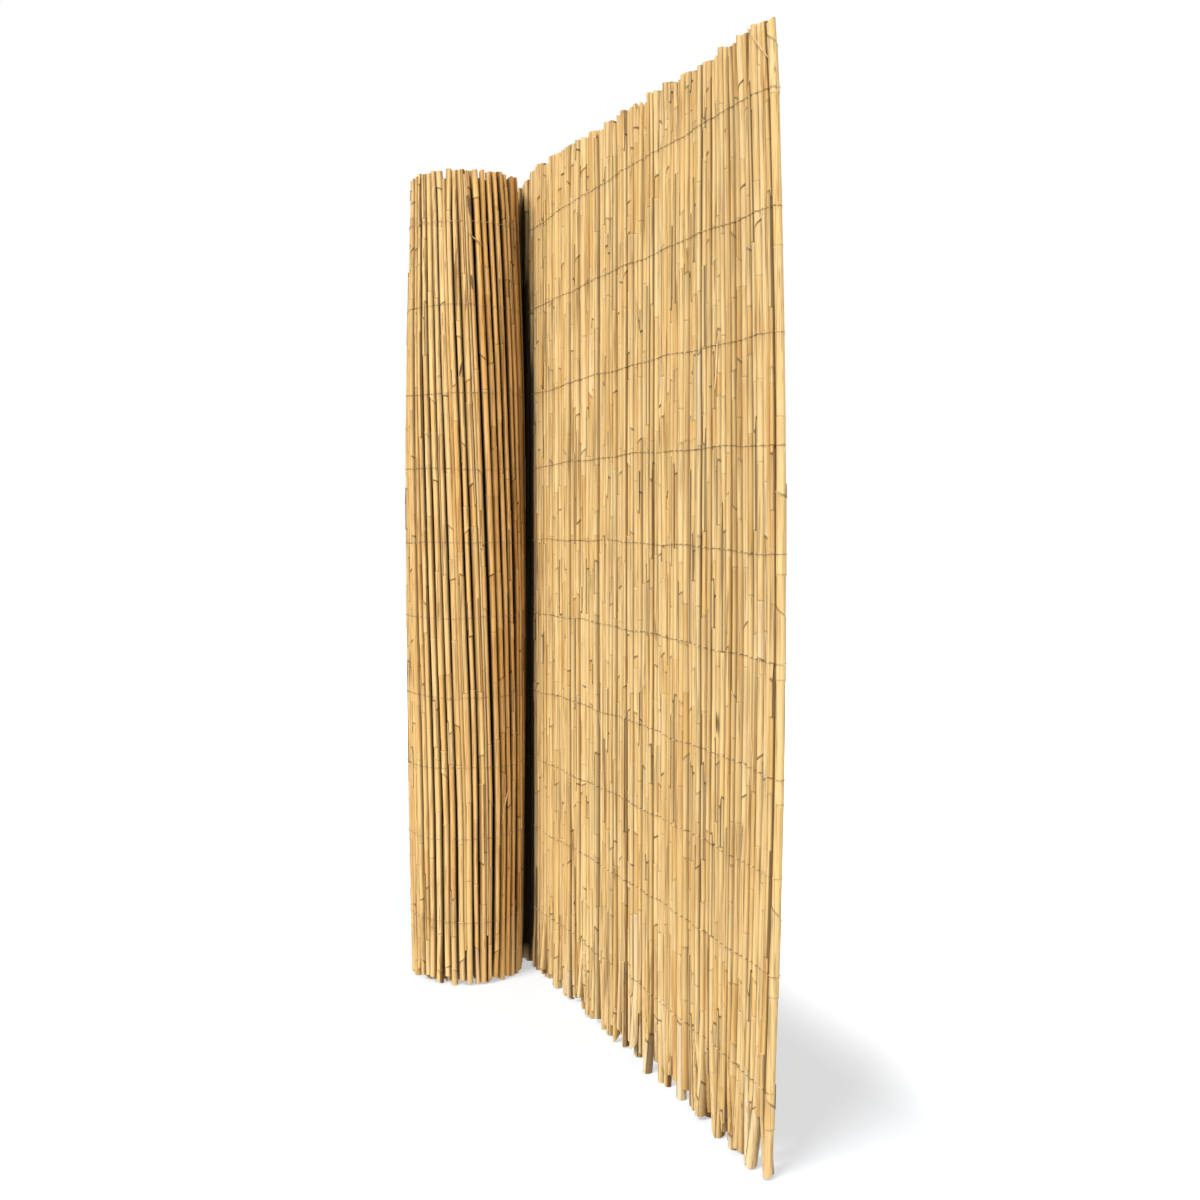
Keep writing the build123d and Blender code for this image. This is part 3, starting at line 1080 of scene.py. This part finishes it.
def tube(points, radius, sides, flat=1.0, across=None):
    """Vertices and faces of a closed tube along points, flattened across one direction if asked."""
    vertices, faces = [], []
    normal = across or Vector((0, 0, 1))
    for number, point in enumerate(points):
        before = points[max(0, number - 1)]
        after = points[min(len(points) - 1, number + 1)]
        along = (after - before).normalized()
        side = along.cross(normal).normalized()
        up = side.cross(along).normalized()
        size = radius[number] if isinstance(radius, list) else radius
        for k in range(sides):
            angle = TURN * k / sides
            vertices.append(point + side * (size * cos(angle)) + up * (size * flat * sin(angle)))
    for ring in range(len(points) - 1):
        for k in range(sides):
            after = (k + 1) % sides
            low = ring * sides
            faces.append((low + k, low + after, low + sides + after, low + sides + k))
    faces.append(tuple(reversed(range(sides))))
    last = (len(points) - 1) * sides
    faces.append(tuple(range(last, last + sides)))
    return vertices, faces


def strands(points):
    """The two strands of a wire, twisted round its line."""
    lines = ([], [])
    run = 0.0
    for number, point in enumerate(points):
        before = points[max(0, number - 1)]
        after = points[min(len(points) - 1, number + 1)]
        along = (after - before).normalized()
        side = along.cross(Vector((0, 0, 1))).normalized()
        up = side.cross(along)
        run += (point - before).length
        turn = TURN * run / TWIST_PITCH
        offset = (side * cos(turn) + up * sin(turn)) * STRAND_OFFSET
        lines[0].append(point + offset)
        lines[1].append(point - offset)
    return lines


def wire_piece(name, line, tail_points, node):
    """One wire as a piece: its twisted strands over the canes, and its tail where it has one."""
    builder = MeshBuilder()
    darks = [dark for _, dark in line for _ in range(STRAND_SIDES)]
    for strand in strands([point for point, _ in line]):
        builder.tube(*tube(strand, STRAND_RADIUS, STRAND_SIDES), shade=darks)
    if tail_points:
        builder.tube(*tube(tail_points, STRAND_RADIUS, STRAND_SIDES))
    piece = builder.object(name, WIRE)
    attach(piece, "root")
    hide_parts(node)


NIP_REACH = 22.0 * MM
EDGE_CANE = PANEL[0]


def at_edge(row):
    """Where the edge cane stands at a row, the row's height there, and how far out a wire lies on it."""
    z = wire_height(row, -PANEL_LENGTH)
    distance, out = EDGE_CANE.place(z)
    return distance, out, z, EDGE_CANE.girth(z) + WIRE_REACH


def edge_loop(row, side):
    """(point, how dark it is) round the outside of the edge cane, from its free side to one face."""
    distance, out, z, reach = at_edge(row)
    line = []
    for turn in map(radians, LOOP_TURNS):
        place = on_mat(distance - reach * cos(turn), out + side * reach * sin(turn), z)
        line.append((place, LOOP_SHADE))
    return line


def tail(row):
    """The cut end of a wire, which stands off the edge cane and bends down."""
    distance, out, z, reach = at_edge(row)
    length = some_mm(TAIL_LENGTH)
    drop = some_mm(TAIL_DROP)
    bend = some_mm(TAIL_BEND)
    points = []
    for k in range(TAIL_STEPS + 1):
        share = k / TAIL_STEPS
        away = length * sin(share * pi / 2)
        points.append(on_mat(distance - reach - away, out + bend * share, z - drop * share * share))
    return points


ROLL_END = FIRST_TURN - 3 * NIP_REACH / 2
for row in range(WIRE_ROWS):
    number = f"{row + 1:02d}"
    over_edge = at_edge(row)[0]
    front = edge_loop(row, -1) + wire_line(row, PANEL, -1, over_edge, -NIP_REACH)
    back = edge_loop(row, 1) + wire_line(row, PANEL + OUTER, 1, over_edge, ROLL_END)
    wire_piece(f"front_binding_{number}", front, tail(row), f"front_wire_{number}")
    wire_piece(f"back_binding_{number}", back, None, f"back_wire_{number}")


# Leaf scraps that lie on the canes. Limits of lengths are in mm.

SCRAP_COUNT = 18
ROLL_SCRAP_EVERY = 3
SCRAP_HEIGHT = (0.06, 0.97)
SCRAP_LENGTH = (15.0, 48.0)
SCRAP_SLANT = (-0.28, 0.28)
SCRAP_WIDTH = (0.7, 1.7)
SCRAP_LIFT = (0.3, 1.6)
SCRAP_BROWN = (0.0, 0.0, 0.5)
SCRAP_CLEARANCE = 0.25 * MM
WIDE_CANE = REED_THIN / 2.4
STRIP_TIP = 0.12 * MM
STRIP_FROM = 0.08
STRIP_OVER = 0.84
STRIP_TONE = 0.4
STRIP_STEPS = 9
STRIP_SIDES = 6
STRIP_FLATNESS = 0.16
STRIP_CLEARANCE = 0.4 * MM


def strip(builder, points, width, facing, **look):
    """A narrow dry blade along points, pointed at both ends."""
    sizes = []
    for number in range(len(points)):
        share = number / (len(points) - 1)
        sizes.append(max(STRIP_TIP, width * sin(pi * (STRIP_FROM + STRIP_OVER * share))))
    shape = tube(points, sizes, STRIP_SIDES, STRIP_FLATNESS, facing)
    builder.tube(*shape, tone=STRIP_TONE, sheath=1.0, **look)


def roll_distance(degrees):
    """Distance along the mat to the outer turn's place at an angle about the roll's axis."""
    turned = (radians(degrees) - pi / 2) % TURN
    number = int(turned // QUARTER_ANGLE)
    whole = sum(radius * QUARTER_ANGLE for _, _, radius in QUARTERS[:number])
    return whole + (turned - number * QUARTER_ANGLE) * QUARTERS[number][2]


# (distance, height) of both ends, half width, brownness and side of the blades that the picture shows
PLACED_SCRAPS = [
    ((-0.5665, 0.9985), (-0.6036, 0.9605), 1.1 * MM, 0.0, -1),
    ((roll_distance(-16.6), 0.906), (roll_distance(-1.8), 0.890), 0.9 * MM, 0.6, 1),
    ((roll_distance(-15.5), 0.950), (roll_distance(-13.5), 0.925), 1.8 * MM, 0.9, 1),
    ((roll_distance(-13.4), 0.856), (roll_distance(-12.0), 0.838), 1.5 * MM, 0.85, 1),
    ((roll_distance(-22.0), 0.752), (roll_distance(-24.5), 0.735), 1.4 * MM, 0.9, 1),
    ((-0.5110, 0.394), (-0.5120, 0.374), 1.4 * MM, 0.9, -1),
    ((-0.3930, 0.672), (-0.3925, 0.640), 1.1 * MM, 0.8, -1),
]


def crest(distance, z, side):
    """How far out the canes near a place reach."""
    canes = PANEL if side < 0 else OUTER
    near = [cane for cane in canes if abs(cane.distance - distance) < REED_THICK]
    return max(side * cane.place(z)[1] + cane.girth(z) for cane in near)


def placed_scrap(builder, start, end, width, brown, side):
    """A blade between two places, on top of the canes."""
    points = []
    for k in range(STRIP_STEPS):
        share = k / (STRIP_STEPS - 1)
        distance = start[0] + (end[0] - start[0]) * share
        height = start[1] + (end[1] - start[1]) * share
        points.append(on_mat(distance, side * (crest(distance, height, side) + STRIP_CLEARANCE), height))
    facing = (on_mat(start[0], side, 0) - on_mat(start[0], 0, 0)).normalized()
    strip(builder, points, width, facing, cane=dice.random(), edge=brown)


def scrap(builder, canes, side):
    """A narrow dry blade that lies on a few canes and slants across them."""
    cane = dice.choice(canes)
    z = dice.uniform(*SCRAP_HEIGHT) * HEIGHT
    length = some_mm(SCRAP_LENGTH)
    slant = dice.uniform(*SCRAP_SLANT)
    width = some_mm(SCRAP_WIDTH)
    lift = some_mm(SCRAP_LIFT)
    points = []
    for k in range(STRIP_STEPS):
        share = k / (STRIP_STEPS - 1)
        height = min(HEIGHT, z + length * (share - 0.5))
        distance, out = cane.place(height)
        reach = cane.girth(height) + SCRAP_CLEARANCE + lift * (2 * share - 1) ** 2
        points.append(on_mat(distance + slant * length * (share - 0.5), out + side * reach, height))
    facing = (on_mat(cane.distance, side, 0) - on_mat(cane.distance, 0, 0)).normalized()
    strip(builder, points, width, facing, cane=dice.random(), edge=dice.choice(SCRAP_BROWN))


def leaf_scraps():
    """All blades as one piece: those that the picture shows, and some at random places."""
    builder = MeshBuilder()
    front = [cane for cane in PANEL if cane.radius > WIDE_CANE]
    for number in range(SCRAP_COUNT):
        canes, side = (front, -1) if number % ROLL_SCRAP_EVERY else (OUTER, 1)
        scrap(builder, canes, side)
    for start, end, width, brown, side in PLACED_SCRAPS:
        placed_scrap(builder, start, end, width, brown, side)
    piece = builder.object("leaf_scraps", REED)
    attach(piece, "root")


leaf_scraps()


# Floor, light and camera

FLOOR_SIZE = 9.0
FLOOR_COLOUR = (0.39, 0.41, 0.435, 1.0)
FLOOR_ROUGH = 0.9
FLOOR_GLOW = 0.46
# Between these the camera-only glow rises to full white: painted light that fades the shadow out further
# back
SHADOW_FULL_Y = 0.23
SHADOW_END_Y = 0.42
AMBIENT = 0.33


def floor():
    """A white floor that keeps the shadow near the panel: part of its white is only for the camera, and
    further back that glow rises and paints light over the shadow.
    """
    n = Nodes(bpy.data.materials.new("white_floor"))
    place = n.new("ShaderNodeSeparateXYZ")
    n.link(n.new("ShaderNodeTexCoord").outputs["Object"], place.inputs[0])
    # Painted light: the camera-only glow rises with Y and fades the shadow out
    glow = n.new("ShaderNodeMapRange", interpolation_type="SMOOTHSTEP")
    n.fill(glow, {
        "Value": place.outputs["Y"], "From Min": SHADOW_FULL_Y, "From Max": SHADOW_END_Y,
        "To Min": FLOOR_GLOW, "To Max": 1.0,
    })
    n.fill(n.shader, {
        "Base Color": FLOOR_COLOUR, "Roughness": FLOOR_ROUGH, "Specular IOR Level": 0.0,
        "Emission Color": grey(1.0),
        "Emission Strength": n.math("MULTIPLY", n.seen(), glow.outputs["Result"]),
    })
    half = FLOOR_SIZE / 2
    mesh = bpy.data.meshes.new("floor")
    corners = [(-half, -half, 0), (half, -half, 0), (half, half, 0), (-half, half, 0)]
    mesh.from_pydata(corners, [], [(0, 1, 2, 3)])
    mesh.materials.append(n.owner)
    piece = new_object("floor", mesh)


def white_world():
    """White to the camera, and a lower even light for the object."""
    world = bpy.data.worlds.new("studio")
    bpy.context.scene.world = world
    n = Nodes(world, "Background")
    strength = n.new("ShaderNodeMapRange")
    n.fill(strength, {"Value": n.seen(), "To Min": AMBIENT, "To Max": 1.0})
    n.fill(n.shader, {"Color": grey(1.0), "Strength": strength.outputs["Result"]})


def sun(name, towards, strength, softness):
    """A soft sun whose light comes from that direction."""
    light = bpy.data.lights.new(name, "SUN")
    light.energy = strength
    light.angle = radians(softness)
    lamp = new_object(name, light)
    lamp.rotation_euler = Vector(towards).to_track_quat("Z", "Y").to_euler()


# Where each sun's light comes from, its strength, and its softness in degrees
SUNS = {
    "key": ((0.24, -0.63, 0.74), 3.55, 28),
    "front_fill": ((0.93, -0.12, 0.36), 1.4, 50),
    "back_fill": ((-0.35, 0.8, 0.6), 0.8, 60),
}
CAMERA_SENSOR = 36.0
CAMERA_NEAR = 0.05
CAMERA_PLACE = Vector((1.3114, -0.5222, 0.5909))
CAMERA_YAW = radians(66.12)
CAMERA_TILT = radians(2.0)
CAMERA_LENS = 39.8
CAMERA_SHIFT_Y = -0.0466


def camera():
    """The photograph's view."""
    data = bpy.data.cameras.new("camera")
    data.sensor_width = CAMERA_SENSOR
    data.lens = CAMERA_LENS
    data.shift_y = CAMERA_SHIFT_Y
    data.clip_start = CAMERA_NEAR
    view = new_object("camera", data)
    view.location = CAMERA_PLACE
    view.rotation_euler = (pi / 2 - CAMERA_TILT, 0.0, CAMERA_YAW)
    bpy.context.scene.camera = view


floor()
white_world()
for name, settings in SUNS.items():
    sun(name, *settings)
camera()
bpy.context.scene.view_settings.view_transform = "Standard"
